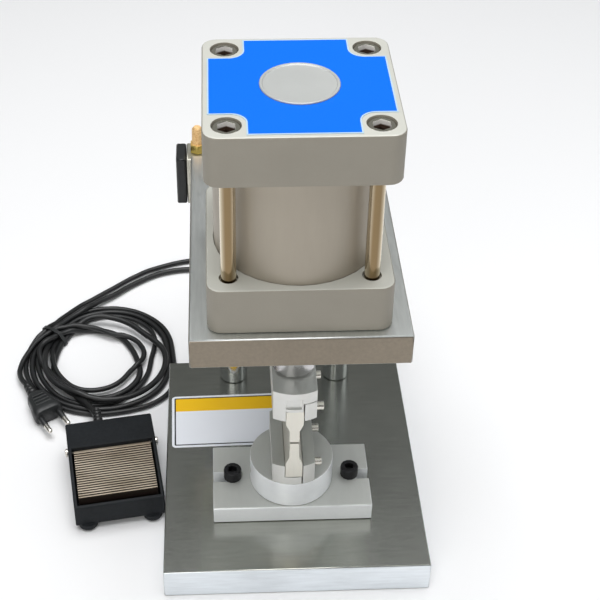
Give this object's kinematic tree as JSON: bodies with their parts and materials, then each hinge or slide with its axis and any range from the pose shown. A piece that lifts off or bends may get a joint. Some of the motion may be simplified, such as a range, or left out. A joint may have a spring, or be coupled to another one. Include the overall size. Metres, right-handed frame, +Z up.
{
  "type": "pneumatic capping press",
  "caption": "Bench capping press: a square tie-rod air cylinder on a two-plate C-frame closes a pair of blade dies, with a valve behind and a foot switch on a corded lead.",
  "frame": {"origin": "on the press axis, at the base plate's underside, where it stands on the bench", "axes": "+Z up along the press axis, +Y to the back where the columns and the valve are, +X to the right seen from the front"},
  "size_m": [0.309, 0.3842, 0.3715],
  "materials": {
    "base_steel": "bright-ground steel, satin, with long faint grinding marks",
    "plate_steel": "bright-ground steel, satin",
    "column_chrome": "hard chrome, polished",
    "black_screw": "black oxide, oiled",
    "die_alloy": "machined, satin",
    "blade_steel": "ground, satin",
    "bright_screw": "bright zinc",
    "rod_chrome": "hard chrome, polished",
    "piston_black": "machined, with its black seal drawn in one piece with it",
    "cylinder_alloy": "fine cast, satin anodised",
    "tube_alloy": "drawn tube, satin anodised",
    "tie_chrome": "bright plated",
    "bronze": "sintered, oily",
    "label_blue": "printed film, semi-gloss",
    "emblem_grey": "pressed, satin, with a bright rim",
    "valve_grey": "extruded, satin anodised",
    "black_plastic": "moulded, fine grain",
    "button_orange": "moulded",
    "spring_steel": "drawn and ground",
    "fitting_brass": "bright; the silencers' noses are sintered bronze",
    "hose_blue": "polyurethane tube",
    "switch_black": "powder coat, matt",
    "pedal_tan": "ribbed tread, worn satin",
    "cord_rubber": "smooth black jacket"
  },
  "bodies": {
    "frame": {"base_plate": "base_steel", "top_plate": "plate_steel", "column_left": "column_chrome", "column_right": "column_chrome", "column_screw_left": "black_screw", "column_screw_right": "black_screw", "block_screw_left": "black_screw", "block_screw_right": "black_screw", "seat_block": "die_alloy", "die_seat": "die_alloy", "lower_die_block": "die_alloy", "lower_clamp_jaw": "die_alloy", "lower_blade": "blade_steel", "lower_clamp_screw_front": "bright_screw", "lower_clamp_screw_rear": "bright_screw", "pedal_pin": "bright_screw", "front_head": "cylinder_alloy", "rear_cap": "cylinder_alloy", "barrel": "tube_alloy", "tie_bolt_front_left": "tie_chrome", "tie_bolt_front_right": "tie_chrome", "tie_bolt_rear_left": "tie_chrome", "tie_bolt_rear_right": "tie_chrome", "rod_bush": "bronze", "cap_label": "label_blue", "cap_emblem": "emblem_grey", "valve_body": "valve_grey", "valve_end_cap": "black_plastic", "pilot_head": "black_plastic", "solenoid_coil": "black_plastic", "coil_connector": "black_plastic", "microswitch": "black_plastic", "mains_plug": "black_plastic", "pedal_spring": "spring_steel", "silencer_left": "fitting_brass", "silencer_right": "fitting_brass", "supply_fitting": "fitting_brass", "valve_fitting_a": "fitting_brass", "valve_fitting_b": "fitting_brass", "head_fitting": "fitting_brass", "cap_fitting": "fitting_brass", "head_hose": "hose_blue", "cap_hose": "hose_blue", "pedal_housing": "switch_black", "foot_cord": "cord_rubber", "foot_lead": "cord_rubber", "power_cord": "cord_rubber", "cord_coil": "cord_rubber"},
    "ram": {"piston_rod": "rod_chrome", "piston": "piston_black", "tool_holder": "rod_chrome", "upper_die_block": "die_alloy", "upper_clamp_jaw": "die_alloy", "upper_blade": "blade_steel", "upper_clamp_screw_front": "bright_screw", "upper_clamp_screw_rear": "bright_screw"},
    "spool": {"valve_spool": "spring_steel"},
    "override": {"override_button": "button_orange"},
    "pedal": {"foot_pedal": "pedal_tan"},
    "plunger": {"switch_plunger": "button_orange"}
  },
  "joints": [
    {"name": "press_slide", "type": "slide", "parent": "frame", "child": "ram", "axis": [0, 0, 1], "range_m": [-0.001, 0.048]},
    {"name": "spool_shift", "type": "slide", "parent": "frame", "child": "spool", "axis": [1, 0, 0], "range_m": [0, 0.003], "stiffness_N_per_m": 800, "springref_m": -0.001},
    {"name": "override_press", "type": "slide", "parent": "frame", "child": "override", "axis": [0, 0, -1], "range_m": [0, 0.0015], "stiffness_N_per_m": 600, "springref_m": -0.0005},
    {"name": "pedal_hinge", "type": "hinge", "parent": "frame", "child": "pedal", "pos_m": [-0.13495, 0.05008, 0.023], "axis": [0.9877, 0.1564, 0], "range_deg": [0, 6], "stiffness_Nm_per_rad": 1.4, "springref_deg": -5.73, "deforming": ["pedal_spring"]},
    {"name": "plunger_travel", "type": "slide", "parent": "frame", "child": "plunger", "axis": [0, 0, -1], "range_m": [0, 0.002]}
  ],
  "couplings": [
    {"joint": "plunger_travel", "follows": "pedal_hinge", "m_per_rad": 0.0185}
  ]
}
